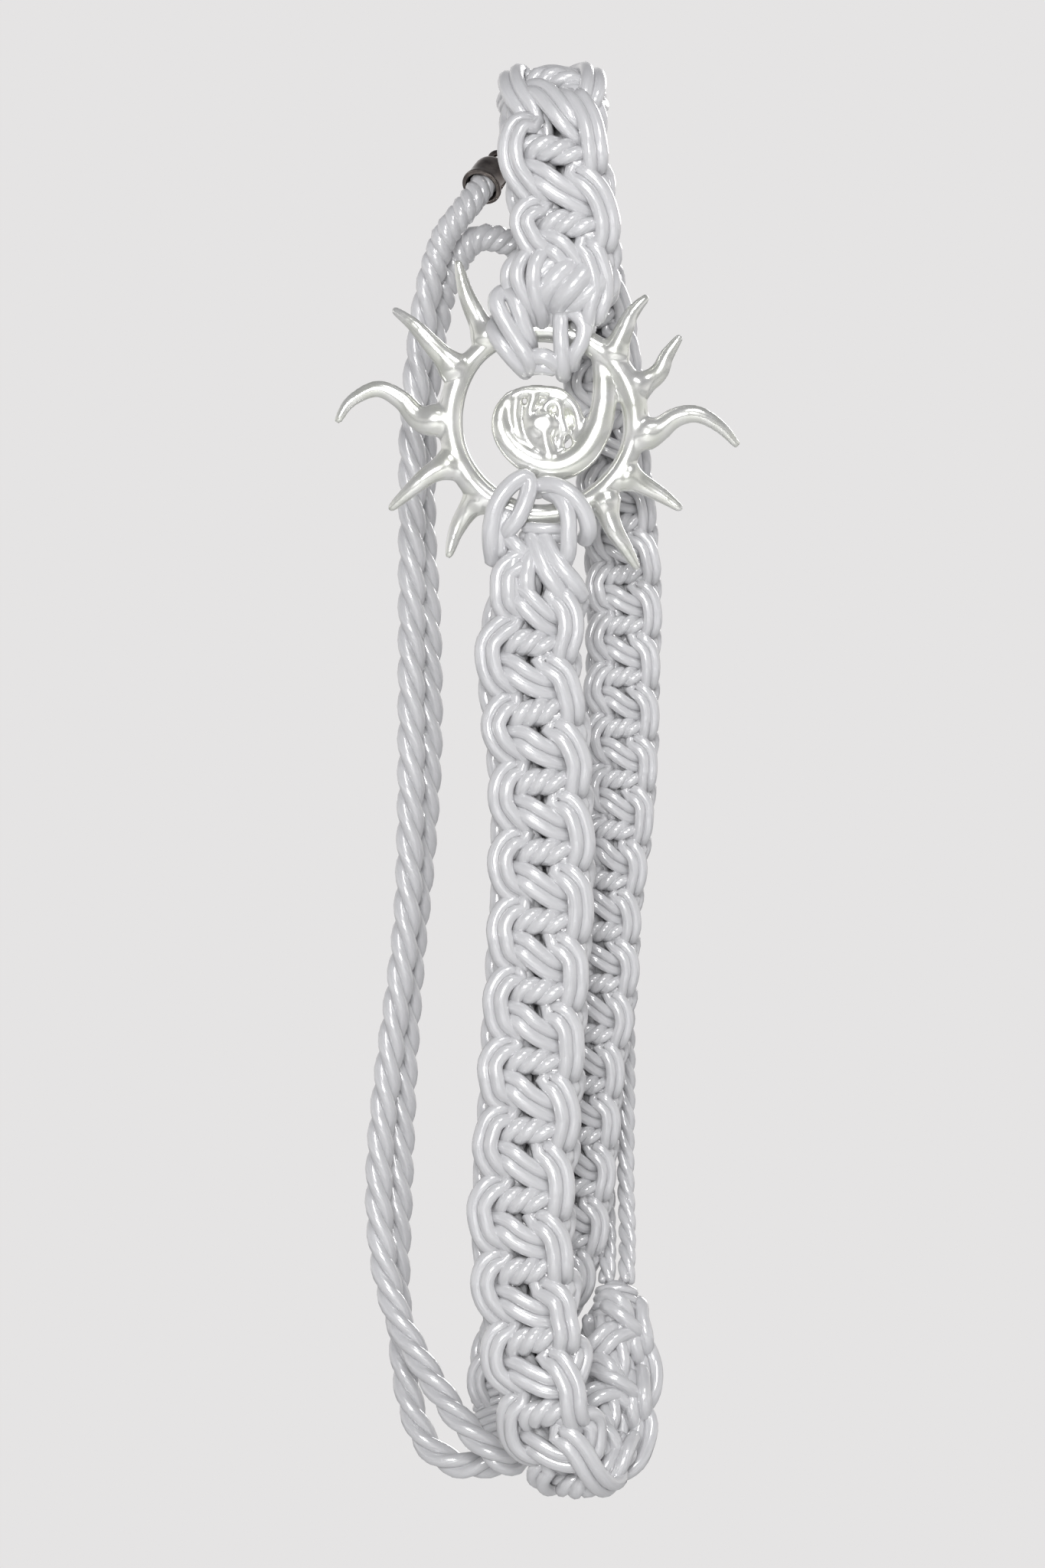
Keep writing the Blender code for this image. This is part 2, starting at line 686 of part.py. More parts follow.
def build():
    clear_scene()
    rear_end = knotted_band("upper_band", upper_band_rows())
    lower_end = knotted_band("lower_band", lower_band_rows())
    sun()
    rope_loops("upper_loops", UPPER_LOOP_ANGLES, -1)
    rope_loops("lower_loops", LOWER_LOOP_ANGLES, 1)
    end_cap("upper_end_cap", cap_mouth(FRONT_LEFT_ROPE), UPPER_CAP_AXIS)
    end_cap("lower_end_cap", cap_mouth(REAR_LEFT_ROPE), LOWER_CAP_AXIS)
    rope("front_left_rope", capped_route(FRONT_LEFT_ROPE, UPPER_CAP_AXIS), ROPE_DIAMETER)
    rope("rear_left_rope", capped_route(REAR_LEFT_ROPE, LOWER_CAP_AXIS), ROPE_DIAMETER)
    rope("right_rope", RIGHT_ROPE, THIN_ROPE_DIAMETER)
    rope("middle_rope", MIDDLE_ROPE, THIN_ROPE_DIAMETER)
    clasp()
    wrap("rear_wrap", rear_end, REAR_WRAP_WIDTH, REAR_WRAP_LENGTH)
    wrap("lower_wrap", lower_end, LOWER_WRAP_WIDTH, LOWER_WRAP_LENGTH)


build()
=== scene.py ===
"""Looks of the rope belt: satin plies in real knots, a cast sun, caps, clasp and light.

Metres, +Z up, +Y away from the viewer, in the same frame as the solids.
"""

import math

import bmesh
import bpy
import numpy as np
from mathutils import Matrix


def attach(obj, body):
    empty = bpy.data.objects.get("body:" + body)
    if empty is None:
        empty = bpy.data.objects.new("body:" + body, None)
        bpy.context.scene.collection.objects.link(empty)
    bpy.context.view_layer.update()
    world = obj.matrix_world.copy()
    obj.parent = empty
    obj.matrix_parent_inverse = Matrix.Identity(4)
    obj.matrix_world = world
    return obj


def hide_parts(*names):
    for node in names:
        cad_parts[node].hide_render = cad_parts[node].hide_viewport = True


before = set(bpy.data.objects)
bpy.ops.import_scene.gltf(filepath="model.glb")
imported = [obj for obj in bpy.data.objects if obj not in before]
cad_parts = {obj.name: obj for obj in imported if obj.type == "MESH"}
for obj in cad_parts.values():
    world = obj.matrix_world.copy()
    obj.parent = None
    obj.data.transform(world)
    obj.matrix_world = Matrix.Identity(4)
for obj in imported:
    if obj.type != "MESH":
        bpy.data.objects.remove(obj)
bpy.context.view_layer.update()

MM = 0.001

# Sizes shared with the solids
BAND_WIDTH = 17.0 * MM
BAND_THICKNESS = 12.0 * MM
KNOT_PITCH = 11.3 * MM
FOLD_INNER_RADIUS = 4.5 * MM
FRONT_DEPTH = 10.5 * MM
HANG_DROP = 221.0 * MM
REAR_DROP = 203.4 * MM
SUN_DROP = 46.5 * MM
SUN_OFFSET = -0.9 * MM
RING_RADIUS = 15.0 * MM
ROPE_DIAMETER = 4.6 * MM
THIN_ROPE_DIAMETER = 2.9 * MM
CAP_LENGTH = 6.4 * MM
CAP_END = 1.4 * MM
GAP = 0.3 * MM
FOLD_SHIFT = 0.07
CLASP_EYE_RADIUS = 1.5 * MM
CLASP_EYE_WIRE = 1.1 * MM

# Rows of the rear strand below the fold: x in band widths, y in front depths, z in rear
# drops, width and thickness as shares. The knots are drawn narrower than the solid.
REAR_STRAND = [
    (0.11, 1.00, -0.025, 1.00, 1.00),
    (0.27, 1.00, -0.090, 0.88, 0.98),
    (0.51, 1.00, -0.164, 0.76, 0.96),
    (0.65, 1.00, -0.259, 0.70, 0.94),
    (0.75, 1.00, -0.358, 0.69, 0.94),
    (0.73, 1.00, -0.458, 0.69, 0.94),
    (0.69, 1.00, -0.537, 0.69, 0.94),
    (0.56, 1.00, -0.617, 0.70, 0.94),
    (0.52, 1.00, -0.682, 0.70, 0.94),
    (0.39, 1.00, -0.751, 0.71, 0.94),
    (0.31, 1.02, -0.826, 0.71, 0.94),
    (0.20, 1.10, -0.886, 0.72, 0.94),
    (0.00, 1.24, -0.930, 0.73, 0.94),
    (-0.25, 1.34, -0.960, 0.72, 0.90),
    (-0.39, 1.39, -0.984, 0.66, 0.80),
    (-0.43, 1.40, -1.000, 0.58, 0.70),
]

# Rows of the lower band: as above, z as a share of the drop below its start, and yaw in
# degrees
LOWER_STRAND = [
    (-0.07, -1.00, 0.000, 0.62, 0.72, 0),
    (-0.07, -1.00, -0.030, 0.90, 0.92, 0),
    (-0.20, -1.00, -0.125, 0.98, 1.00, 0),
    (-0.11, -1.00, -0.208, 1.00, 1.00, 0),
    (-0.06, -1.00, -0.345, 1.00, 1.00, 0),
    (-0.12, -1.00, -0.480, 1.00, 1.00, 0),
    (-0.19, -1.00, -0.615, 1.00, 1.00, 0),
    (-0.25, -1.00, -0.736, 1.00, 1.00, -4),
    (-0.18, -1.00, -0.818, 1.00, 1.00, -10),
    (-0.07, -1.00, -0.892, 1.00, 1.00, -18),
    (0.06, -0.93, -0.952, 1.00, 0.98, -27),
    (0.26, -0.56, -1.000, 1.00, 0.94, -30),
    (0.45, -0.04, -0.978, 1.00, 0.96, -30),
    (0.53, 0.30, -0.942, 0.98, 0.96, -28),
    (0.60, 0.58, -0.895, 0.84, 0.88, -20),
    (0.64, 0.76, -0.852, 0.56, 0.62, -10),
]
LOWER_START = 67.2 * MM

# Centre lines of the plain ropes in millimetres
FRONT_LEFT_ROPE = [
    (-10.9, 14.6, -6.9),
    (-12.6, 12.6, -9.4),
    (-14.8, 12.0, -12.2),
    (-17.1, 12.4, -15.6),
    (-19.3, 13.8, -22.6),
    (-20.7, 15.2, -31.0),
    (-22.1, 16.0, -45.0),
    (-22.3, 16.2, -62.0),
    (-22.4, 16.2, -88.0),
    (-22.6, 16.2, -113.0),
    (-23.4, 16.2, -130.0),
    (-26.2, 16.2, -152.0),
    (-27.5, 16.2, -165.0),
    (-27.7, 15.9, -176.0),
    (-26.6, 15.0, -186.0),
    (-24.3, 13.6, -193.6),
    (-20.6, 11.6, -200.6),
    (-15.9, 9.4, -207.6),
    (-11.9, 8.3, -212.2),
    (-8.2, 8.4, -215.4),
    (-5.8, 10.4, -216.8),
    (-5.2, 12.1, -215.2),
    (-5.4, 12.3, -213.8),
    (-5.5, 12.3, -212.2),
]
REAR_LEFT_ROPE = [
    (-5.0, 18.2, -16.2),
    (-8.7, 17.0, -15.1),
    (-11.8, 16.8, -15.3),
    (-14.4, 17.4, -18.0),
    (-16.6, 18.8, -22.4),
    (-18.3, 20.2, -29.0),
    (-20.2, 21.0, -43.0),
    (-20.6, 21.2, -62.0),
    (-19.7, 21.2, -80.0),
    (-19.6, 21.2, -100.0),
    (-20.8, 21.2, -118.0),
    (-22.4, 21.2, -134.0),
    (-23.7, 21.2, -153.0),
    (-24.5, 21.2, -174.0),
    (-24.9, 21.2, -187.0),
    (-24.1, 21.0, -197.0),
    (-22.6, 20.6, -207.6),
    (-19.6, 20.0, -214.6),
    (-15.0, 19.2, -217.6),
    (-10.2, 18.6, -217.7),
    (-6.8, 18.0, -216.6),
    (-5.5, 17.5, -214.6),
    (-5.6, 17.4, -212.4),
]
RIGHT_ROPE = [
    (13.0, 9.8, -186.9),
    (13.1, 11.0, -183.8),
    (13.2, 15.0, -178.4),
    (13.0, 18.0, -169.0),
    (13.2, 18.4, -152.0),
    (13.0, 18.4, -136.0),
    (12.7, 18.4, -118.0),
    (12.9, 18.4, -96.0),
    (12.5, 18.4, -74.0),
    (10.8, 18.5, -54.0),
    (8.4, 19.4, -40.0),
    (7.0, 20.6, -33.0),
    (7.0, 20.8, -29.6),
]
MIDDLE_ROPE = [
    (9.8, 9.8, -186.9),
    (9.9, 11.4, -184.0),
    (10.0, 15.2, -179.9),
    (9.9, 18.2, -173.0),
    (10.0, 18.6, -152.0),
    (9.8, 18.6, -136.0),
    (9.5, 18.6, -118.0),
    (9.6, 18.6, -96.0),
    (9.2, 18.6, -74.0),
    (7.4, 18.7, -54.0),
    (5.0, 19.4, -40.0),
    (3.7, 20.6, -33.0),
    (3.7, 20.8, -29.6),
]
UPPER_CAP_AXIS = (0.36, 0.72, 0.60)
LOWER_CAP_AXIS = (0.86, 0.42, -0.28)
CLASP_BAR = [
    (-7.0, 22.2, -1.8),
    (-5.7, 22.3, -5.0),
    (-3.6, 21.9, -8.9),
    (0.2, 21.7, -12.9),
    (3.2, 21.4, -16.6),
    (5.3, 20.9, -21.0),
]

# One square knot seen from its front, in millimetres: across, down the strand, towards
# the viewer, and the turns its plies have made
FRONT_CORD = [
    (-4.9, 0.7, 1.8, 0.02),
    (-2.6, 0.1, 3.9, 0.31),
    (0.2, -0.1, 4.4, 0.70),
    (2.8, 0.0, 3.9, 1.06),
    (5.2, 0.9, 1.8, 1.30),
    (6.5, 2.8, 0.4, 1.42),
    (6.3, 4.9, 0.4, 1.48),
    (4.8, 7.5, 1.6, 1.50),
    (2.4, 7.4, 3.9, 1.50),
    (-0.3, 5.9, 4.7, 1.50),
    (-3.0, 4.1, 4.4, 1.50),
    (-5.1, 3.8, 2.2, 1.53),
    (-6.5, 5.6, 0.2, 1.58),
    (-6.8, 8.0, -0.2, 1.62),
    (-6.2, 10.3, 0.4, 1.65),
]
FRONT_CORD_TURNS = 5 / 3
BACK_CORD = [
    (-3.4, -2.6, 2.8, 0.13),
    (-5.6, -1.5, 4.0, 0.16),
    (-6.9, 0.9, 4.3, 0.167),
    (-6.7, 3.5, 4.3, 0.167),
    (-5.6, 5.7, 3.9, 0.167),
    (-3.8, 7.2, 2.6, 0.18),
    (-2.6, 8.0, 0.2, 0.26),
    (-1.8, 8.0, -2.4, 0.38),
    (-0.2, 7.2, -4.0, 0.50),
    (1.8, 5.6, -4.2, 0.62),
    (3.7, 4.1, -2.9, 0.71),
    (4.4, 3.0, -0.6, 0.77),
    (3.6, 2.5, 1.8, 0.81),
    (2.3, 2.9, 3.7, 0.827),
    (3.7, 3.7, 4.4, 0.833),
    (5.4, 5.7, 4.6, 0.833),
    (6.1, 8.6, 4.5, 0.833),
    (6.0, 11.2, 4.2, 0.833),
    (5.2, 13.3, 2.8, 0.85),
    (3.9, 14.1, 0.4, 0.93),
    (2.4, 14.0, -2.2, 1.04),
    (0.2, 12.9, -4.1, 1.16),
    (-2.1, 11.2, -4.2, 1.26),
    (-4.0, 9.9, -2.6, 1.33),
    (-4.7, 9.0, -0.2, 1.38),
    (-4.2, 8.5, 1.6, 1.43),
]
BACK_CORD_TURNS = 4 / 3

# Plies: radius and distance from the middle as shares of the rope, and lengths of a turn
PLY_SHARE = 0.250
PLY_OFFSET_SHARE = 0.262
END_SHARE = 0.55
ROPE_LAY = 16.4 * MM
THIN_ROPE_LAY = 10.2 * MM
TIGHT_LAY = 5.8 * MM

# Knotted bands
KNOT_STEP = 0.8 * MM
KNOT_JITTER = 0.22
OUTWARD_REACH_ACROSS = 6.6 * MM
OUTWARD_REACH_DEEP = 4.2 * MM
FILLER_STEP = 1.2 * MM
FILLER_LAY = 14 * MM
FILLER_DIAMETER = 4.0 * MM
FILLER_ASIDE = 2.2 * MM
FILLER_DEEP = 1.9 * MM
FILLER_SIDES = 8
FRONT_CORD_DIAMETER = 4.8 * MM
FRONT_SPREAD = 0.95
FRONT_SHIFT = 0.5 * MM
REAR_PITCH = 8.4 * MM
REAR_CORD_DIAMETER = 3.5 * MM

# Smaller parts
LOOP_FATNESS = 1.1
CASTING_STEP = 0.5 * MM
CASTING_VOXEL = 0.30 * MM
CASTING_SMOOTHING = 14
TURN_SPACING = 0.97
TURN_FATNESS = 1.04
TURN_POINTS = 40
TURNED_SIDES = 48
SHARP_DEGREES = 38

# Camera: distance from the belt's middle and half the height that it sees
VIEW_DISTANCE = 1.5
VIEW_HALF_HEIGHT = 0.128

random = np.random.RandomState(7)


def unit(v):
    return v / np.maximum(np.linalg.norm(v, axis=-1, keepdims=True), 1e-12)


def tangents(points):
    return unit(np.gradient(points, axis=0))


def smooth_line(points, step):
    """Points about step apart along a smooth curve through the given points."""
    given = np.array(points, float)
    padded = np.vstack([2 * given[0] - given[1], given, 2 * given[-1] - given[-2]])
    t = np.linspace(0, 1, 12, endpoint=False)[:, None]
    fine = []
    for i in range(1, len(padded) - 2):
        a, b, c, d = padded[i - 1], padded[i], padded[i + 1], padded[i + 2]
        fine.append(
            0.5 * (2 * b + (c - a) * t + (2 * a - 5 * b + 4 * c - d) * t**2
                   + (3 * b - a - 3 * c + d) * t**3)
        )
    fine.append(given[-1:])
    fine = np.vstack(fine)
    lengths = np.linalg.norm(np.diff(fine[:, :3], axis=0), axis=1)
    along = np.concatenate([[0], np.cumsum(lengths)])
    count = max(4, int(round(along[-1] / step)) + 1)
    at = np.linspace(0, along[-1], count)
    return np.stack([np.interp(at, along, fine[:, k]) for k in range(fine.shape[1])], axis=1)


def length_of(points):
    return float(np.linalg.norm(np.diff(points, axis=0), axis=1).sum())


def carried_normals(points, first):
    """A normal at each point, carried along without twist from the first one."""
    t = tangents(points)
    n = np.array(first, float)
    out = []
    for tangent in t:
        n = n - n.dot(tangent) * tangent
        n = n / np.linalg.norm(n)
        out.append(n)
    return np.array(out)


class Skin:
    """Tubes gathered into one mesh, with coordinates round (U) and along in mm (V)."""

    def __init__(self):
        self.vertices = []
        self.faces = []
        self.uvs = []
        self.count = 0

    def tube(self, points, radius, outward, sides, flat=1.0, ends=True):
        """radius may be one number or one a point; flat squeezes it along outward."""
        n = len(points)
        t = tangents(points)
        e1 = unit(outward - np.sum(outward * t, axis=1, keepdims=True) * t)
        e2 = np.cross(t, e1)
        radius = np.broadcast_to(np.asarray(radius, float), (n,)).copy()
        if ends:
            t0 = points[0] - t[0] * radius[0] * END_SHARE
            t1 = points[-1] + t[-1] * radius[-1] * END_SHARE
            points = np.vstack([t0, points, t1])
            radius = np.concatenate([[radius[0] * END_SHARE], radius, [radius[-1] * END_SHARE]])
            e1 = np.vstack([e1[:1], e1, e1[-1:]])
            e2 = np.vstack([e2[:1], e2, e2[-1:]])
            n += 2
        angle = 2 * np.pi * np.arange(sides) / sides
        c, s = np.cos(angle), np.sin(angle)
        ring = (
            points[:, None, :]
            + radius[:, None, None] * (flat * c[None, :, None] * e1[:, None, :]
                                       + s[None, :, None] * e2[:, None, :])
        )
        self.vertices.append(ring.reshape(-1, 3))
        along = np.concatenate(
            [[0], np.cumsum(np.linalg.norm(np.diff(points, axis=0), axis=1))]) / MM
        i = np.arange(n - 1)[:, None]
        j = np.arange(sides)[None, :]
        k = (j + 1) % sides
        base = self.count
        quads = np.stack([
            base + i * sides + j,
            base + i * sides + k,
            base + (i + 1) * sides + k,
            base + (i + 1) * sides + j,
        ], axis=-1).reshape(-1, 4)
        self.faces += quads.tolist()
        u0 = (j + 0 * i) / sides
        u1 = (j + 1 + 0 * i) / sides
        v0 = along[i + 0 * j]
        v1 = along[i + 1 + 0 * j]
        uv = np.stack([
            np.stack([u0, v0], -1), np.stack([u1, v0], -1),
            np.stack([u1, v1], -1), np.stack([u0, v1], -1),
        ], axis=2).reshape(-1, 2)
        self.uvs.append(uv)
        if ends:
            self.faces.append([base + x for x in range(sides)][::-1])
            self.faces.append([base + (n - 1) * sides + x for x in range(sides)])
            self.uvs.append(np.tile([[0.5, along[0]]], (sides, 1)))
            self.uvs.append(np.tile([[0.5, along[-1]]], (sides, 1)))
        self.count += n * sides

    def loop_tube(self, points, radius, outward, sides, flat=1.0):
        """A closed tube: the last point joins the first."""
        closed = np.vstack([points, points[:1]])
        out = np.vstack([outward, outward[:1]])
        radius = np.broadcast_to(np.asarray(radius, float), (len(points),))
        self.tube(closed, np.append(radius, radius[0]), out, sides, flat, ends=False)

    def object(self, name, finish):
        mesh = bpy.data.meshes.new(name)
        mesh.from_pydata(np.vstack(self.vertices).tolist(), [], self.faces)
        layer = mesh.uv_layers.new(name="UVMap")
        layer.data.foreach_set("uv", np.vstack(self.uvs).astype(np.float32).ravel())
        mesh.shade_smooth()
        obj = bpy.data.objects.new(name, mesh)
        obj.data.materials.append(finish)
        bpy.context.scene.collection.objects.link(obj)
        return obj


def lay_plies(skin, centre, outward, turns, diameter, sides):
    """Three plies laid round a centre line, turned left-handed by the given turns."""
    t = tangents(centre)
    e1 = unit(outward - np.sum(outward * t, axis=1, keepdims=True) * t)
    e2 = np.cross(t, e1)
    for k in range(3):
        angle = -2 * np.pi * (turns + k / 3)
        away = np.cos(angle)[:, None] * e1 + np.sin(angle)[:, None] * e2
        points = centre + away * diameter * PLY_OFFSET_SHARE
        skin.tube(points, diameter * PLY_SHARE, away, sides)


# Materials


def shader_of(name):
    made = bpy.data.materials.new(name)
    made.use_nodes = True
    tree = made.node_tree
    return made, tree, tree.nodes["Principled BSDF"]


def round_the_ply(tree, uv):
    """A point on a long thin cylinder, so that a noise there runs along the ply and
    closes on itself round it."""
    nodes, links = tree.nodes, tree.links
    split = nodes.new("ShaderNodeSeparateXYZ")
    links.new(uv, split.inputs["Vector"])
    turn = nodes.new("ShaderNodeMath")
    turn.operation = "MULTIPLY"
    turn.inputs[1].default_value = 2 * math.pi
    links.new(split.outputs["X"], turn.inputs[0])
    join = nodes.new("ShaderNodeCombineXYZ")
    for axis, wave in (("X", "COSINE"), ("Y", "SINE")):
        part = nodes.new("ShaderNodeMath")
        part.operation = wave
        links.new(turn.outputs["Value"], part.inputs[0])
        links.new(part.outputs["Value"], join.inputs[axis])
    length = nodes.new("ShaderNodeMath")
    length.operation = "MULTIPLY"
    length.inputs[1].default_value = 0.08
    links.new(split.outputs["Y"], length.inputs[0])
    links.new(length.outputs["Value"], join.inputs["Z"])
    return join.outputs["Vector"]


def satin(name, color):
    """Glossy filament rope: fine threads across each ply, streaks along it and a little
    uneven tone."""
    made, tree, shader = shader_of(name)
    nodes, links = tree.nodes, tree.links
    where = nodes.new("ShaderNodeTexCoord")
    stretch = nodes.new("ShaderNodeMapping")
    stretch.inputs["Scale"].default_value = (1.6, 3.0, 1.0)
    stretch.inputs["Rotation"].default_value = (0.0, 0.0, 0.10)
    links.new(where.outputs["UV"], stretch.inputs["Vector"])
    threads = nodes.new("ShaderNodeTexNoise")
    threads.inputs["Scale"].default_value = 2.2
    threads.inputs["Detail"].default_value = 3.0
    links.new(stretch.outputs["Vector"], threads.inputs["Vector"])
    bump = nodes.new("ShaderNodeBump")
    bump.inputs["Strength"].default_value = 0.35
    bump.inputs["Distance"].default_value = 0.00010
    links.new(threads.outputs["Fac"], bump.inputs["Height"])
    streaks = nodes.new("ShaderNodeTexNoise")
    streaks.inputs["Scale"].default_value = 3.2
    streaks.inputs["Detail"].default_value = 2.0
    links.new(round_the_ply(tree, where.outputs["UV"]), streaks.inputs["Vector"])
    ridges = nodes.new("ShaderNodeBump")
    ridges.inputs["Strength"].default_value = 0.55
    ridges.inputs["Distance"].default_value = 0.00022
    links.new(streaks.outputs["Fac"], ridges.inputs["Height"])
    links.new(bump.outputs["Normal"], ridges.inputs["Normal"])
    links.new(ridges.outputs["Normal"], shader.inputs["Normal"])
    cloud = nodes.new("ShaderNodeTexNoise")
    cloud.inputs["Scale"].default_value = 160.0
    links.new(where.outputs["Object"], cloud.inputs["Vector"])
    tone = nodes.new("ShaderNodeValToRGB")
    tone.color_ramp.elements[0].position = 0.3
    tone.color_ramp.elements[1].position = 0.75
    low = tuple(c * 0.93 for c in color)
    tone.color_ramp.elements[0].color = (*low, 1.0)
    tone.color_ramp.elements[1].color = (*color, 1.0)
    links.new(cloud.outputs["Fac"], tone.inputs["Fac"])
    links.new(tone.outputs["Color"], shader.inputs["Base Color"])
    shader.inputs["Roughness"].default_value = 0.30
    shader.inputs["Specular IOR Level"].default_value = 0.9
    shader.inputs["Sheen Weight"].default_value = 0.08
    shader.inputs["Sheen Roughness"].default_value = 0.4
    shader.inputs["Coat Weight"].default_value = 1.0
    shader.inputs["Coat Roughness"].default_value = 0.12
    shader.inputs["Coat IOR"].default_value = 2.0
    return made


def metal(name, bright, dark, rough, scale, metallic):
    """Cast or plated metal with faint patches of tone and a gently uneven skin."""
    made, tree, shader = shader_of(name)
    nodes, links = tree.nodes, tree.links
    where = nodes.new("ShaderNodeTexCoord")
    cloud = nodes.new("ShaderNodeTexNoise")
    cloud.inputs["Scale"].default_value = scale
    cloud.inputs["Detail"].default_value = 4.0
    links.new(where.outputs["Object"], cloud.inputs["Vector"])
    tone = nodes.new("ShaderNodeValToRGB")
    tone.color_ramp.elements[0].position = 0.35
    tone.color_ramp.elements[1].position = 0.65
    tone.color_ramp.elements[0].color = (*dark, 1.0)
    tone.color_ramp.elements[1].color = (*bright, 1.0)
    links.new(cloud.outputs["Fac"], tone.inputs["Fac"])
    links.new(tone.outputs["Color"], shader.inputs["Base Color"])
    bump = nodes.new("ShaderNodeBump")
    bump.inputs["Strength"].default_value = 0.5
    bump.inputs["Distance"].default_value = 0.00008
    links.new(cloud.outputs["Fac"], bump.inputs["Height"])
    links.new(bump.outputs["Normal"], shader.inputs["Normal"])
    shader.inputs["Metallic"].default_value = metallic
    shader.inputs["Roughness"].default_value = rough
    return made


SATIN = satin("white_satin", (0.59, 0.59, 0.605))
THIN_SATIN = satin("thin_white_satin", (0.58, 0.58, 0.595))
PEARL = metal("pearl_silver_cast", (0.86, 0.86, 0.84), (0.78, 0.79, 0.73), 0.20, 260.0, 0.78)
GUNMETAL = metal("gunmetal_plate", (0.27, 0.24, 0.22), (0.10, 0.085, 0.08), 0.14, 420.0, 1.0)


# Camera and free ropes

camera_data = bpy.data.cameras.new("camera")
camera = bpy.data.objects.new("camera", camera_data)
bpy.context.scene.collection.objects.link(camera)
camera.location = (-4.06 * MM, -VIEW_DISTANCE, -105.2 * MM)
camera.rotation_euler = (math.radians(90), 0.0, 0.0)
camera_data.sensor_fit = "VERTICAL"
camera_data.angle = 2 * math.atan(VIEW_HALF_HEIGHT / VIEW_DISTANCE)
camera_data.clip_start = 0.01
camera_data.clip_end = 20.0
bpy.context.scene.camera = camera


def capped(route, axis):
    """The route with its hidden start inside the cap."""
    mouth = np.array(route[0], float)
    inward = np.array(axis, float) / np.linalg.norm(axis)
    seat = (CAP_LENGTH - CAP_END - GAP) / MM
    return [mouth + inward * seat, mouth + inward * 0.4 * seat, mouth, *route[1:]]


def plain_rope(name, route, diameter, lay, phase, finish, tight_reach=0.0):
    """Three plies along the route, laid closer together over its first tight_reach."""
    line = smooth_line(np.array(route, float) * MM, 0.6 * MM)
    normals = carried_normals(line, (0.0, -1.0, 0.05))
    along = np.linspace(0, length_of(line), len(line))
    turns = along / lay + phase
    if tight_reach:
        eased = np.clip(1 - (along - tight_reach) / tight_reach, 0, 1)
        rate = (1 / lay) + (1 / TIGHT_LAY - 1 / lay) * eased * eased * (3 - 2 * eased)
        turns = phase + np.concatenate([[0], np.cumsum(rate[1:] * np.diff(along))])
    skin = Skin()
    lay_plies(skin, line, normals, turns, diameter, 10)
    piece = skin.object(name + "_plies", finish)
    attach(piece, "root")
    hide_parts(name)
    return piece


plain_rope("front_left_rope", capped(FRONT_LEFT_ROPE, UPPER_CAP_AXIS),
           ROPE_DIAMETER, ROPE_LAY, 0.1, SATIN, 14 * MM)
plain_rope("rear_left_rope", capped(REAR_LEFT_ROPE, LOWER_CAP_AXIS),
           ROPE_DIAMETER, ROPE_LAY, 0.35, SATIN, 16 * MM)
plain_rope("right_rope", RIGHT_ROPE, THIN_ROPE_DIAMETER, THIN_ROPE_LAY, 0.0, THIN_SATIN)
plain_rope("middle_rope", MIDDLE_ROPE, THIN_ROPE_DIAMETER, THIN_ROPE_LAY, 0.2, THIN_SATIN)


# Knotted bands


class Strand:
    """Places points across, down and in front of a strand's middle line."""

    def __init__(self, rows):
        self.line = smooth_line(rows, 1.0 * MM)
        self.points = self.line[:, :3]
        self.length = length_of(self.points)
        self.at = np.linspace(0, self.length, len(self.points))
        self.t = tangents(self.points)
        yaw = np.radians(self.line[:, 5])
        hint = np.stack([np.cos(yaw), np.sin(yaw), 0 * yaw], axis=1)
        self.across = unit(hint - np.sum(hint * self.t, axis=1, keepdims=True) * self.t)
        self.deep = np.cross(self.t, self.across)

    def read(self, table, t):
        return np.stack([np.interp(t, self.at, table[:, k]) for k in range(3)], axis=1)

    def place(self, local):
        """World points and outward directions for local (u, t, w) in metres."""
        u, t, w = local[:, 0], local[:, 1], local[:, 2]
        inside = np.clip(t, 0, self.length)
        beyond = (t - inside)[:, None]
        across = self.read(self.across, inside)
        deep = self.read(self.deep, inside)
        down = self.read(self.t, inside)
        wide = np.interp(inside, self.at, self.line[:, 3])
        thick = np.interp(inside, self.at, self.line[:, 4])
        middle = self.read(self.points, inside) + down * beyond
        spot = middle + across * (u * wide)[:, None] + deep * (w * thick)[:, None]
        gu = u / OUTWARD_REACH_ACROSS ** 2
        gw = w / OUTWARD_REACH_DEEP ** 2
        out = across * gu[:, None] + deep * gw[:, None]
        return spot, unit(out)


def knot_cord(strand, skin, table, turns, count, pitch, diameter, shift, slant, low, sides):
    """One working cord through all the knots of a strand, pitch apart. The slant drops
    the right side of each knot."""
    squeeze = pitch / KNOT_PITCH
    rows = []
    for k in range(-2, count - 2):
        for u, t, w, turn in table:
            jitter = random.uniform(-KNOT_JITTER, KNOT_JITTER, 3)
            rows.append((
                (u + jitter[0]) * MM,
                (t + slant * u + jitter[1] * 0.6) * squeeze * MM + k * pitch + shift,
                (w + jitter[2] * 0.6) * MM,
                turn + k * turns,
            ))
    rows = np.array(rows)
    high = strand.length + 0.5 * MM
    keep = (rows[:, 1] > low) & (rows[:, 1] < high)
    first_kept = int(np.argmax(keep))
    last_kept = len(keep) - 1 - int(np.argmax(keep[::-1]))
    rows = rows[first_kept:last_kept + 1]
    line = smooth_line(rows, KNOT_STEP)
    spot, out = strand.place(line)
    lay_plies(skin, spot, out, line[:, 3], diameter, sides)


def filler_cords(strand, skin):
    """Core cords that the knots go round: one pair near each face of the band."""
    t = np.arange(0, strand.length, FILLER_STEP)
    for side, face, phase in ((-1, 1, 0.1), (1, 1, 0.45), (-1, -1, 0.3), (1, -1, 0.7)):
        aside = np.full_like(t, side * FILLER_ASIDE)
        deep = np.full_like(t, face * FILLER_DEEP)
        spot, _ = strand.place(np.stack([aside, t, deep], 1))
        out = strand.read(strand.deep, t)
        lay_plies(skin, spot, out, t / FILLER_LAY + phase, FILLER_DIAMETER, FILLER_SIDES)


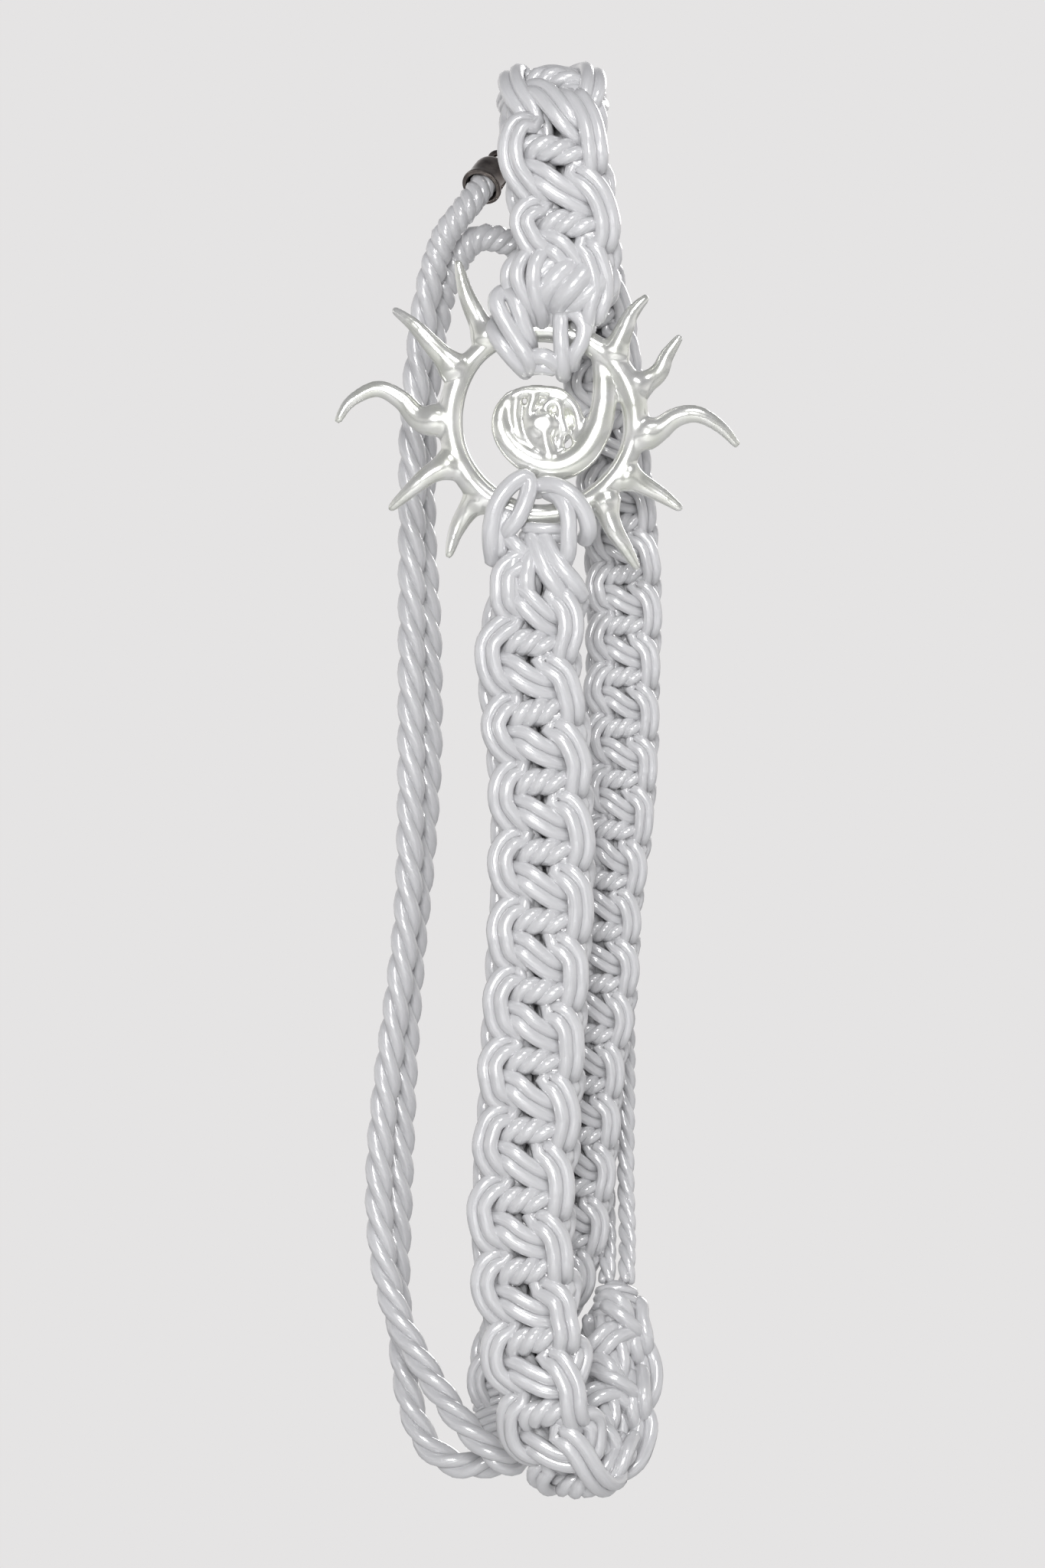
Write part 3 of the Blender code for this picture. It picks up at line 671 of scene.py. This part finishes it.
def hand_over(piece, node):
    """The piece rides on the one body and takes the place of the node's solid."""
    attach(piece, "root")
    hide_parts(node)
    return piece


def knotted(name, node, rows, pitch, diameter, shift, slant=0.0, low=-0.5 * MM, sides=9):
    """A band of square knots: two working cords round the filler cords."""
    strand = Strand(rows)
    knots = int(strand.length / pitch) + 5
    skin = Skin()
    for table, turns in ((FRONT_CORD, FRONT_CORD_TURNS), (BACK_CORD, BACK_CORD_TURNS)):
        knot_cord(strand, skin, table, turns, knots, pitch, diameter, shift, slant, low, sides)
    filler_cords(strand, skin)
    return hand_over(skin.object(name, SATIN), node)


def fold_point(degrees):
    """A row of the top fold, turned up from the rear side by the given degrees."""
    radius = FOLD_INNER_RADIUS + BAND_THICKNESS / 2
    turn = math.radians(degrees)
    return (
        FOLD_SHIFT * BAND_WIDTH,
        math.cos(turn) * radius,
        math.sin(turn) * radius - FOLD_INNER_RADIUS,
        1.0,
        1.0,
        0.0,
    )


upper_rows = [fold_point(d) for d in (45, 75, 105, 135, 160)]
upper_rows += [
    (1.7 * MM, -FRONT_DEPTH, -5.8 * MM, 1.0, 1.0, 0.0),
    (2.9 * MM, -FRONT_DEPTH, -11.8 * MM, 1.0, 1.0, 0.0),
    (3.7 * MM, -FRONT_DEPTH, -18.0 * MM, 0.96, 1.0, 0.0),
    (3.4 * MM, -FRONT_DEPTH, -21.5 * MM, 0.85, 0.9, 0.0),
]
rear_rows = [fold_point(50), fold_point(25)] + [
    (x * BAND_WIDTH, y * FRONT_DEPTH, z * REAR_DROP, width, thick, 0.0)
    for x, y, z, width, thick in REAR_STRAND
]
lowest = HANG_DROP - BAND_THICKNESS / 2
lower_rows = [
    (x * BAND_WIDTH + FRONT_SHIFT, y * FRONT_DEPTH, -LOWER_START + z * (lowest - LOWER_START),
     width * FRONT_SPREAD, thick, yaw)
    for x, y, z, width, thick, yaw in LOWER_STRAND
]
knotted("upper_front_knots", "upper_band", upper_rows, KNOT_PITCH, FRONT_CORD_DIAMETER,
        1.0 * MM, 0.32)
knotted("rear_knots", "upper_band", rear_rows, REAR_PITCH, REAR_CORD_DIAMETER, 1.0 * MM, -0.08,
        sides=8)
knotted("lower_knots", "lower_band", lower_rows, KNOT_PITCH, FRONT_CORD_DIAMETER,
        4.1 * MM, 0.0, 5.5 * MM)


# Ball of fanned plies at the end of the upper band, above the sun

BALL_CENTRE = np.array([3.2, -10.6, -24.2]) * MM
BALL_RADII = np.array([7.0, 5.6, 4.6]) * MM
BALL_PLIES = 11

# Plies that leave the ball: routes in mm with the radius of each
BALL_STRAIGHTS = [
    ([(-2.4, -13.6, -18.6), (-4.4, -15.2, -20.8), (-4.9, -15.6, -23.6), (-3.6, -15.0, -26.6),
      (-2.4, -12.6, -29.4), (-2.2, -10.0, -31.6)], 1.25),
    ([(0.0, -14.2, -18.4), (-1.8, -16.2, -20.6), (-2.3, -16.5, -23.8), (-1.8, -15.6, -27.0),
      (-1.0, -13.0, -29.6), (-0.8, -10.2, -31.8)], 1.25),
    ([(-4.6, -12.4, -19.6), (-6.4, -13.2, -22.0), (-6.3, -13.0, -24.8), (-4.4, -12.0, -27.4),
      (-2.6, -10.6, -29.6)], 1.15),
    ([(2.4, -12.6, -27.0), (1.2, -12.4, -28.8), (0.6, -10.6, -31.4)], 1.1),
]


def ball():
    """Curved plies round the end of the band, and the straight ones that leave it."""
    skin = Skin()
    for i in range(BALL_PLIES):
        tilt = np.radians(np.linspace(-80, 80, 26))
        around = 2 * np.pi * (i + 0.35) / BALL_PLIES + 0.62 * tilt
        shape = np.stack([
            np.cos(tilt) * np.sin(around),
            -np.cos(tilt) * np.cos(around),
            np.sin(tilt),
        ], axis=1)
        points = BALL_CENTRE + shape * BALL_RADII
        width = (1.85 * np.cos(tilt) ** 0.45 + 0.05) * MM
        skin.tube(points, width, shape, 12)
    for route, size in BALL_STRAIGHTS:
        line = smooth_line(np.array(route) * MM, 0.7 * MM)
        skin.tube(line, size * MM, carried_normals(line, (0.0, -1.0, 0.1)), 12)
    return hand_over(skin.object("fanned_ball", SATIN), "upper_band")


ball()


# Rope loops through the sun: routes in mm with the radius of each ply

UPPER_LOOP_PLIES = [
    ([(-5.2, -8.6, -25.6), (-7.4, -12.0, -25.7), (-8.3, -14.0, -27.4), (-6.9, -14.6, -30.4),
      (-5.0, -14.5, -33.6), (-3.3, -14.3, -36.2), (-2.9, -12.0, -37.8), (-4.0, -8.6, -36.8),
      (-5.2, -6.4, -33.0)], 1.30),
    ([(-8.6, -8.0, -30.2), (-8.9, -11.4, -31.4), (-7.9, -13.6, -33.6), (-6.2, -13.9, -35.8),
      (-4.2, -12.8, -37.9), (-3.6, -9.4, -38.2), (-5.0, -6.8, -35.4)], 1.20),
    ([(-7.4, -10.4, -25.6), (-5.9, -13.4, -26.0), (-4.8, -14.4, -28.2), (-3.9, -14.2, -31.0),
      (-3.0, -12.8, -33.4), (-2.8, -9.6, -35.0)], 1.25),
    ([(2.6, -9.0, -28.2), (2.1, -13.2, -29.4), (2.1, -14.4, -32.4), (2.3, -14.3, -35.6),
      (2.4, -12.8, -38.2), (2.6, -9.6, -38.7), (2.6, -6.8, -35.8)], 1.20),
    ([(3.0, -12.0, -29.0), (4.6, -13.8, -29.2), (5.9, -14.2, -31.2), (5.5, -14.2, -33.6),
      (4.4, -13.8, -35.6), (3.9, -11.6, -37.2), (4.2, -8.0, -36.4), (4.6, -6.4, -33.0)], 1.20),
    ([(-3.2, -12.6, -36.6), (-1.8, -14.0, -36.0), (-0.2, -14.3, -36.2), (1.4, -13.2, -37.4)],
     1.25),
    ([(-2.6, -12.2, -37.8), (-0.8, -13.0, -37.7), (1.0, -12.6, -38.0)], 1.15),
]
LOWER_LOOP_PLIES = [
    ([(-8.8, -11.4, -69.0), (-9.2, -13.4, -66.2), (-9.1, -14.3, -63.4), (-8.2, -14.7, -59.9),
      (-6.3, -14.6, -57.2), (-4.0, -13.8, -55.6), (-3.0, -13.6, -56.4), (-3.4, -14.4, -59.0),
      (-4.6, -14.7, -61.8), (-6.2, -14.1, -63.9), (-7.0, -11.8, -65.0)], 1.32),
    ([(-7.6, -12.2, -67.8), (-7.5, -13.2, -64.6), (-6.6, -13.4, -61.4)], 1.20),
    ([(-1.6, -9.6, -57.6), (-0.9, -13.0, -56.9), (1.4, -14.4, -57.0), (4.0, -14.8, -58.6),
      (5.9, -14.6, -61.2), (6.6, -13.8, -64.0), (6.0, -11.6, -65.6)], 1.32),
    ([(0.0, -12.4, -57.9), (1.9, -14.2, -59.0), (3.2, -15.2, -61.6), (3.4, -15.3, -64.6),
      (3.3, -14.8, -67.6), (2.6, -12.6, -69.6)], 1.25),
    ([(-3.6, -12.6, -63.7), (-1.8, -13.6, -63.8), (0.2, -13.7, -63.9), (2.2, -12.9, -63.9)],
     0.85),
    ([(-3.9, -11.6, -65.0), (-1.6, -12.6, -65.2), (1.0, -12.6, -65.1), (2.8, -11.6, -65.0)],
     1.0),
    ([(-6.8, -12.4, -64.4), (-5.6, -13.6, -66.2), (-4.2, -13.8, -67.6), (-3.2, -12.6, -69.0)],
     1.15),
    ([(-0.6, -12.6, -65.0), (0.4, -13.9, -67.4), (2.0, -14.9, -70.0), (4.2, -14.8, -72.6),
      (5.4, -13.0, -74.8)], 1.35),
    ([(-2.6, -12.6, -65.2), (-1.6, -14.2, -68.0), (-0.4, -15.2, -70.8), (1.4, -15.2, -73.4),
      (2.8, -13.6, -75.6)], 1.35),
    ([(-4.4, -12.4, -66.6), (-5.6, -14.0, -69.2), (-6.0, -14.9, -72.0), (-5.4, -14.6, -75.0),
      (-4.4, -13.0, -77.2)], 1.35),
    ([(-2.4, -13.0, -67.4), (-3.2, -14.8, -69.8), (-3.4, -15.4, -72.6), (-3.0, -14.6, -75.6),
      (-2.4, -13.0, -77.4)], 1.30),
]


def loops(name, node, plies):
    """The plies of one pair of lark's-head loops, each a separate tube."""
    skin = Skin()
    for route, radius in plies:
        line = smooth_line(np.array(route) * MM, 0.6 * MM)
        skin.tube(line, radius * LOOP_FATNESS * MM, carried_normals(line, (0.0, -1.0, 0.1)), 14)
    return hand_over(skin.object(name, SATIN), node)


loops("upper_rope_loops", "upper_loops", UPPER_LOOP_PLIES)
loops("lower_rope_loops", "lower_loops", LOWER_LOOP_PLIES)


# The cast sun, whose points are in ring radii from its middle

RAYS = [
    [(-0.54, 0.83), (-0.72, 1.16), (-0.83, 1.41), (-0.91, 1.73)],
    [(-0.86, 0.50), (-1.16, 0.80), (-1.39, 1.05), (-1.60, 1.21)],
    [(-1.00, 0.02), (-1.32, 0.04), (-1.52, 0.24), (-1.78, 0.36), (-2.07, 0.22), (-2.21, 0.01)],
    [(-0.94, -0.43), (-1.20, -0.56), (-1.41, -0.73), (-1.64, -0.94)],
    [(-0.62, -0.78), (-0.79, -0.94), (-0.93, -1.18), (-1.01, -1.45)],
    [(0.66, -0.80), (0.76, -1.13), (0.90, -1.36), (1.03, -1.58)],
    [(0.90, -0.58), (1.15, -0.71), (1.32, -0.81), (1.50, -0.94)],
    [(1.00, -0.16), (1.26, -0.08), (1.45, 0.05), (1.68, 0.08), (1.92, -0.05), (2.11, -0.25)],
    [(0.96, 0.34), (1.25, 0.52), (1.35, 0.72), (1.49, 0.92)],
    [(0.76, 0.70), (0.89, 1.00), (0.97, 1.17), (1.13, 1.35)],
]
SPIRAL = [
    (0.62, 0.86),
    (0.64, 0.66),
    (0.67, 0.42),
    (0.66, 0.14),
    (0.58, -0.14),
    (0.42, -0.37),
    (0.18, -0.49),
    (-0.08, -0.45),
    (-0.31, -0.30),
    (-0.44, -0.08),
    (-0.43, 0.13),
    (-0.32, 0.28),
]
# Folds of the cupped leaf at the spiral's heart: points, radius in mm, depth in mm
LEAF_FOLDS = [
    ([(-0.32, 0.28), (-0.16, 0.33), (0.06, 0.33), (0.22, 0.29), (0.36, 0.14), (0.40, -0.06),
      (0.37, -0.22)], 1.00, -0.6),
    ([(-0.27, 0.26), (-0.29, 0.06), (-0.24, -0.14), (-0.12, -0.32)], 0.95, -0.6),
    ([(-0.08, 0.28), (-0.13, 0.12), (-0.12, -0.08), (-0.02, -0.30)], 0.95, -0.9),
    ([(0.02, 0.14), (0.10, 0.22), (0.18, 0.18), (0.21, 0.04), (0.26, -0.12)], 0.80, -1.0),
    ([(0.06, 0.06), (0.03, -0.10), (0.05, -0.26), (0.10, -0.40)], 1.15, -1.3),
    ([(0.18, -0.02), (0.20, -0.16), (0.17, -0.34)], 0.90, -0.7),
]


def sun_point(x, z, y=0.0):
    """A point given in ring radii across and up, and in metres backwards."""
    return (SUN_OFFSET + x * RING_RADIUS, -FRONT_DEPTH + y, -SUN_DROP + z * RING_RADIUS)


def sun():
    """Ring, rays, spiral and leaf, melted into one rounded casting."""
    skin = Skin()
    face = np.array([[0.0, -1.0, 0.0]])
    angle = 2 * np.pi * np.arange(96) / 96
    wobble = 1 + 0.012 * np.sin(3 * angle + 1.0)
    ring = np.array([sun_point(math.cos(a) * w, math.sin(a) * w) for a, w in zip(angle, wobble)])
    width = (2.0 + 0.20 * np.sin(2 * angle + 0.4) + 0.12 * np.sin(5 * angle)) * MM
    skin.loop_tube(ring, width, np.tile(face, (96, 1)), 16, 0.95)
    for i, ray in enumerate(RAYS):
        start = np.array(ray[0]) / np.linalg.norm(ray[0]) * 1.03
        points = [tuple(start), *ray[1:]]
        line = smooth_line(np.array([sun_point(x, z) for x, z in points]), CASTING_STEP)
        share = np.linspace(0, 1, len(line))
        line[:, 1] -= 0.9 * MM * np.sin(np.pi * share) * (1 if i % 2 else -0.5)
        radius = (0.72 + 1.45 * (1 - share) ** 0.8) * MM
        radius += 0.75 * MM * np.exp(-((share - 0.10) / 0.10) ** 2)
        skin.tube(line, radius, np.tile(face, (len(line), 1)), 12, 0.78)
    line = smooth_line(np.array([sun_point(x, z, -0.2 * MM) for x, z in SPIRAL]), CASTING_STEP)
    share = np.linspace(0, 1, len(line))
    radius = (1.25 + 1.15 * np.sin(np.pi * np.clip(share * 1.05, 0, 1)) ** 0.8) * MM
    line[:, 1] -= 0.9 * MM * np.sin(np.pi * share)
    skin.tube(line, radius, np.tile(face, (len(line), 1)), 14, 0.66)
    for points, size, depth in LEAF_FOLDS:
        line = smooth_line(
            np.array([sun_point(x, z, depth * MM) for x, z in points]), CASTING_STEP)
        skin.tube(line, size * MM, np.tile(face, (len(line), 1)), 12, 0.9)
    bowl = np.array([sun_point(0.01, -0.03, y * MM) for y in (-0.5, 0.0, 0.5, 1.0, 1.3)])
    sizes = np.array([3.2, 4.8, 5.3, 4.6, 2.6]) * MM
    skin.tube(bowl, sizes, np.tile([[0.0, 0.0, 1.0]], (5, 1)), 28, 0.86)
    rough = skin.object("sun_rough", PEARL)
    remesh = rough.modifiers.new("cast", "REMESH")
    remesh.mode = "VOXEL"
    remesh.voxel_size = CASTING_VOXEL
    even = rough.modifiers.new("even", "SMOOTH")
    even.factor = 0.5
    even.iterations = CASTING_SMOOTHING
    graph = bpy.context.evaluated_depsgraph_get()
    cast = bpy.data.meshes.new_from_object(rough.evaluated_get(graph))
    bpy.data.objects.remove(rough, do_unlink=True)
    cast.shade_smooth()
    piece = bpy.data.objects.new("cast_sun", cast)
    cast.materials.clear()
    cast.materials.append(PEARL)
    bpy.context.scene.collection.objects.link(piece)
    return hand_over(piece, "sun_ornament")


sun()


# Wraps: turns of thin cord round the strands' ends


def wrapping(name, node, base, axis, width, flat, turns, cord, lean):
    """Turns of cord one above the other round a plain core. The base, the width and the
    cord are in millimetres."""
    base = np.array(base) * MM
    axis = np.array(axis, float)
    axis = axis / np.linalg.norm(axis)
    x = np.array([1.0, 0.0, 0.0])
    x = x - x.dot(axis) * axis
    x = x / np.linalg.norm(x)
    y = np.cross(axis, x)
    skin = Skin()
    core = base + np.linspace(0.4, (turns - 0.4) * cord * TURN_SPACING, 5)[:, None] * MM * axis
    skin.tube(core, (width / 2 - cord * 0.6) * MM, np.tile(y, (5, 1)), 24, flat)
    for k in range(turns):
        angle = 2 * np.pi * np.arange(TURN_POINTS) / TURN_POINTS
        half = (width / 2 - cord / 2 + random.uniform(-0.12, 0.12)) * MM
        height = (k + 0.5) * cord * TURN_SPACING * MM
        rise = lean * (np.cos(angle) - 0.35 * np.cos(2 * angle)) * half
        out = np.cos(angle)[:, None] * x + np.sin(angle)[:, None] * y * flat
        points = base + out * half + (height + rise)[:, None] * axis
        skin.loop_tube(points, cord / 2 * TURN_FATNESS * MM, unit(out), 9)
    return hand_over(skin.object(name, THIN_SATIN), node)


wrapping("rear_wrap_turns", "rear_wrap", (-7.3, 14.7, -211.6), (-0.04, 0.03, 1.0),
         10.0, 0.78, 6, 1.45, 0.22)
wrapping("lower_wrap_turns", "lower_wrap", (10.9, 8.1, -193.0), (0.1, 0.28, 0.95),
         7.2, 0.82, 4, 1.35, 0.06)


# Caps and clasp


def turned(name, profile, centre, axis, node, flat=1.0):
    """A gunmetal shell turned round an axis, from (radius, height) in millimetres."""
    sides = TURNED_SIDES
    z = np.array(axis, float) / np.linalg.norm(axis)
    x = np.cross(z, (0.0, 1.0, 0.0))
    x = x / np.linalg.norm(x)
    y = np.cross(z, x)
    vertices = []
    for radius, height in profile:
        for k in range(sides):
            a = 2 * math.pi * k / sides
            vertices.append(
                np.array(centre) * MM
                + (x * math.cos(a) + y * math.sin(a) * flat) * radius * MM
                + z * height * MM
            )
    faces = []
    rows = len(profile)
    for i in range(rows - 1):
        for k in range(sides):
            m = (k + 1) % sides
            faces.append((i * sides + k, i * sides + m, (i + 1) * sides + m, (i + 1) * sides + k))
    faces.append(tuple(range(sides)))
    faces.append(tuple(range((rows - 1) * sides, rows * sides)))
    mesh = bpy.data.meshes.new(name)
    mesh.from_pydata([tuple(v) for v in vertices], [], faces)
    edit = bmesh.new()
    edit.from_mesh(mesh)
    bmesh.ops.recalc_face_normals(edit, faces=edit.faces)
    if edit.calc_volume(signed=True) < 0:
        bmesh.ops.reverse_faces(edit, faces=edit.faces)
    edit.to_mesh(mesh)
    edit.free()
    mesh.shade_smooth()
    mesh.set_sharp_from_angle(angle=math.radians(SHARP_DEGREES))
    obj = bpy.data.objects.new(name, mesh)
    obj.data.materials.append(GUNMETAL)
    bpy.context.scene.collection.objects.link(obj)
    return hand_over(obj, node)


CAP_PROFILE = [
    (2.55, 4.6), (2.55, 0.25), (2.72, 0.0), (3.15, 0.0), (3.36, 0.16), (3.40, 0.42), (3.34, 0.68),
    (3.16, 0.82), (3.08, 1.05), (3.06, 2.2), (3.04, 3.6), (2.96, 4.6), (2.74, 5.3), (2.36, 5.9),
    (1.9, 6.3), (1.3, 6.4),
]
SOCKET_PROFILE = [
    (3.2, -8.0), (3.6, -7.8), (3.8, -7.4), (3.8, -6.8), (3.62, -6.6), (3.62, -2.6),
    (3.8, -2.4), (3.8, -1.9), (3.5, -1.5), (2.9, -0.8), (2.2, 0.1), (1.5, 0.4),
]
SOCKET_PLACE = (5.3, 20.9, -20.0)
SOCKET_FLATNESS = 0.632

turned("upper_cap_shell", CAP_PROFILE, FRONT_LEFT_ROPE[0], UPPER_CAP_AXIS, "upper_end_cap")
turned("lower_cap_shell", CAP_PROFILE, REAR_LEFT_ROPE[0], LOWER_CAP_AXIS, "lower_end_cap")


def clasp():
    """The bar with its eye on the upper cap, and the socket of the thin ropes."""
    skin = Skin()
    line = smooth_line(np.array(CLASP_BAR) * MM, CASTING_STEP)
    share = np.linspace(0, 1, len(line))
    radius = (1.1 + 0.35 * np.exp(-((share - 0.25) / 0.07) ** 2)
              + 0.3 * np.exp(-((share - 0.95) / 0.1) ** 2)) * MM
    skin.tube(line, radius, carried_normals(line, (0.0, 1.0, 0.1)), 18)
    lean = np.array(UPPER_CAP_AXIS) / np.linalg.norm(UPPER_CAP_AXIS)
    eye_rise = CAP_LENGTH + GAP + CLASP_EYE_WIRE / 2 + CLASP_EYE_RADIUS
    eye = np.array(FRONT_LEFT_ROPE[0]) * MM + lean * eye_rise
    side = np.cross(lean, (0.3, 1.0, 0.2))
    side = side / np.linalg.norm(side)
    angle = 2 * np.pi * np.arange(TURN_POINTS) / TURN_POINTS
    spoke = np.cos(angle)[:, None] * lean + np.sin(angle)[:, None] * side
    skin.loop_tube(eye + spoke * CLASP_EYE_RADIUS, CLASP_EYE_WIRE / 2, spoke, 14)
    piece = skin.object("clasp_link", GUNMETAL)
    hand_over(piece, "clasp")
    turned("clasp_socket", SOCKET_PROFILE, SOCKET_PLACE, (0, 0.001, 1), "clasp", SOCKET_FLATNESS)


clasp()


# Light and floor

MIDDLE = (0.0, 0.0, -0.10)
FLOOR_REACH = 2.4
FLOOR_HEIGHT = -0.5


def studio_world():
    """A pale room: bright behind the belt at eye level, dimmer overhead, underfoot and
    on the viewer's side."""
    world = bpy.data.worlds.new("studio")
    bpy.context.scene.world = world
    world.use_nodes = True
    nodes, links = world.node_tree.nodes, world.node_tree.links
    where = nodes.new("ShaderNodeTexCoord")
    split = nodes.new("ShaderNodeSeparateXYZ")
    links.new(where.outputs["Generated"], split.inputs["Vector"])
    height = nodes.new("ShaderNodeMath")
    height.operation = "ABSOLUTE"
    links.new(split.outputs["Z"], height.inputs[0])
    front = nodes.new("ShaderNodeMath")
    front.operation = "MULTIPLY"
    front.inputs[1].default_value = -0.55
    front.use_clamp = True
    links.new(split.outputs["Y"], front.inputs[0])
    dim = nodes.new("ShaderNodeMath")
    dim.operation = "ADD"
    links.new(height.outputs["Value"], dim.inputs[0])
    links.new(front.outputs["Value"], dim.inputs[1])
    sky = nodes.new("ShaderNodeValToRGB")
    sky.color_ramp.elements[0].position = 0.22
    sky.color_ramp.elements[0].color = (0.785, 0.775, 0.775, 1.0)
    sky.color_ramp.elements[1].position = 0.70
    sky.color_ramp.elements[1].color = (0.24, 0.24, 0.25, 1.0)
    links.new(dim.outputs["Value"], sky.inputs["Fac"])
    links.new(sky.outputs["Color"], nodes["Background"].inputs["Color"])


studio_world()
bpy.context.scene.view_settings.view_transform = "Standard"


def area_light(name, place, size, power):
    """A round lamp that shines at the belt's middle."""
    data = bpy.data.lights.new(name, "AREA")
    data.shape = "DISK"
    data.size = size
    data.energy = power
    lamp = bpy.data.objects.new(name, data)
    lamp.location = place
    x, y, z = np.array(place) - np.array(MIDDLE)
    lamp.rotation_euler = (math.atan2(math.hypot(x, y), z), 0.0, math.atan2(y, x) + math.pi / 2)
    bpy.context.scene.collection.objects.link(lamp)


area_light("key", (-0.12, -1.60, 0.20), 0.50, 17.0)
area_light("top", (0.35, -1.00, 0.85), 0.45, 5.0)
area_light("back", (0.50, 1.40, 0.35), 0.50, 5.0)

floor_mesh = bpy.data.meshes.new("floor")
corners = [
    (x * FLOOR_REACH, y * FLOOR_REACH, FLOOR_HEIGHT)
    for x, y in ((-1, -1), (1, -1), (1, 1), (-1, 1))
]
floor_mesh.from_pydata(corners, [], [(0, 1, 2, 3)])
floor = bpy.data.objects.new("floor", floor_mesh)
bpy.context.scene.collection.objects.link(floor)
floor_paint, floor_tree, floor_shader = shader_of("floor_paint")
floor_shader.inputs["Base Color"].default_value = (0.70, 0.70, 0.70, 1.0)
floor_shader.inputs["Roughness"].default_value = 0.8
floor.data.materials.append(floor_paint)
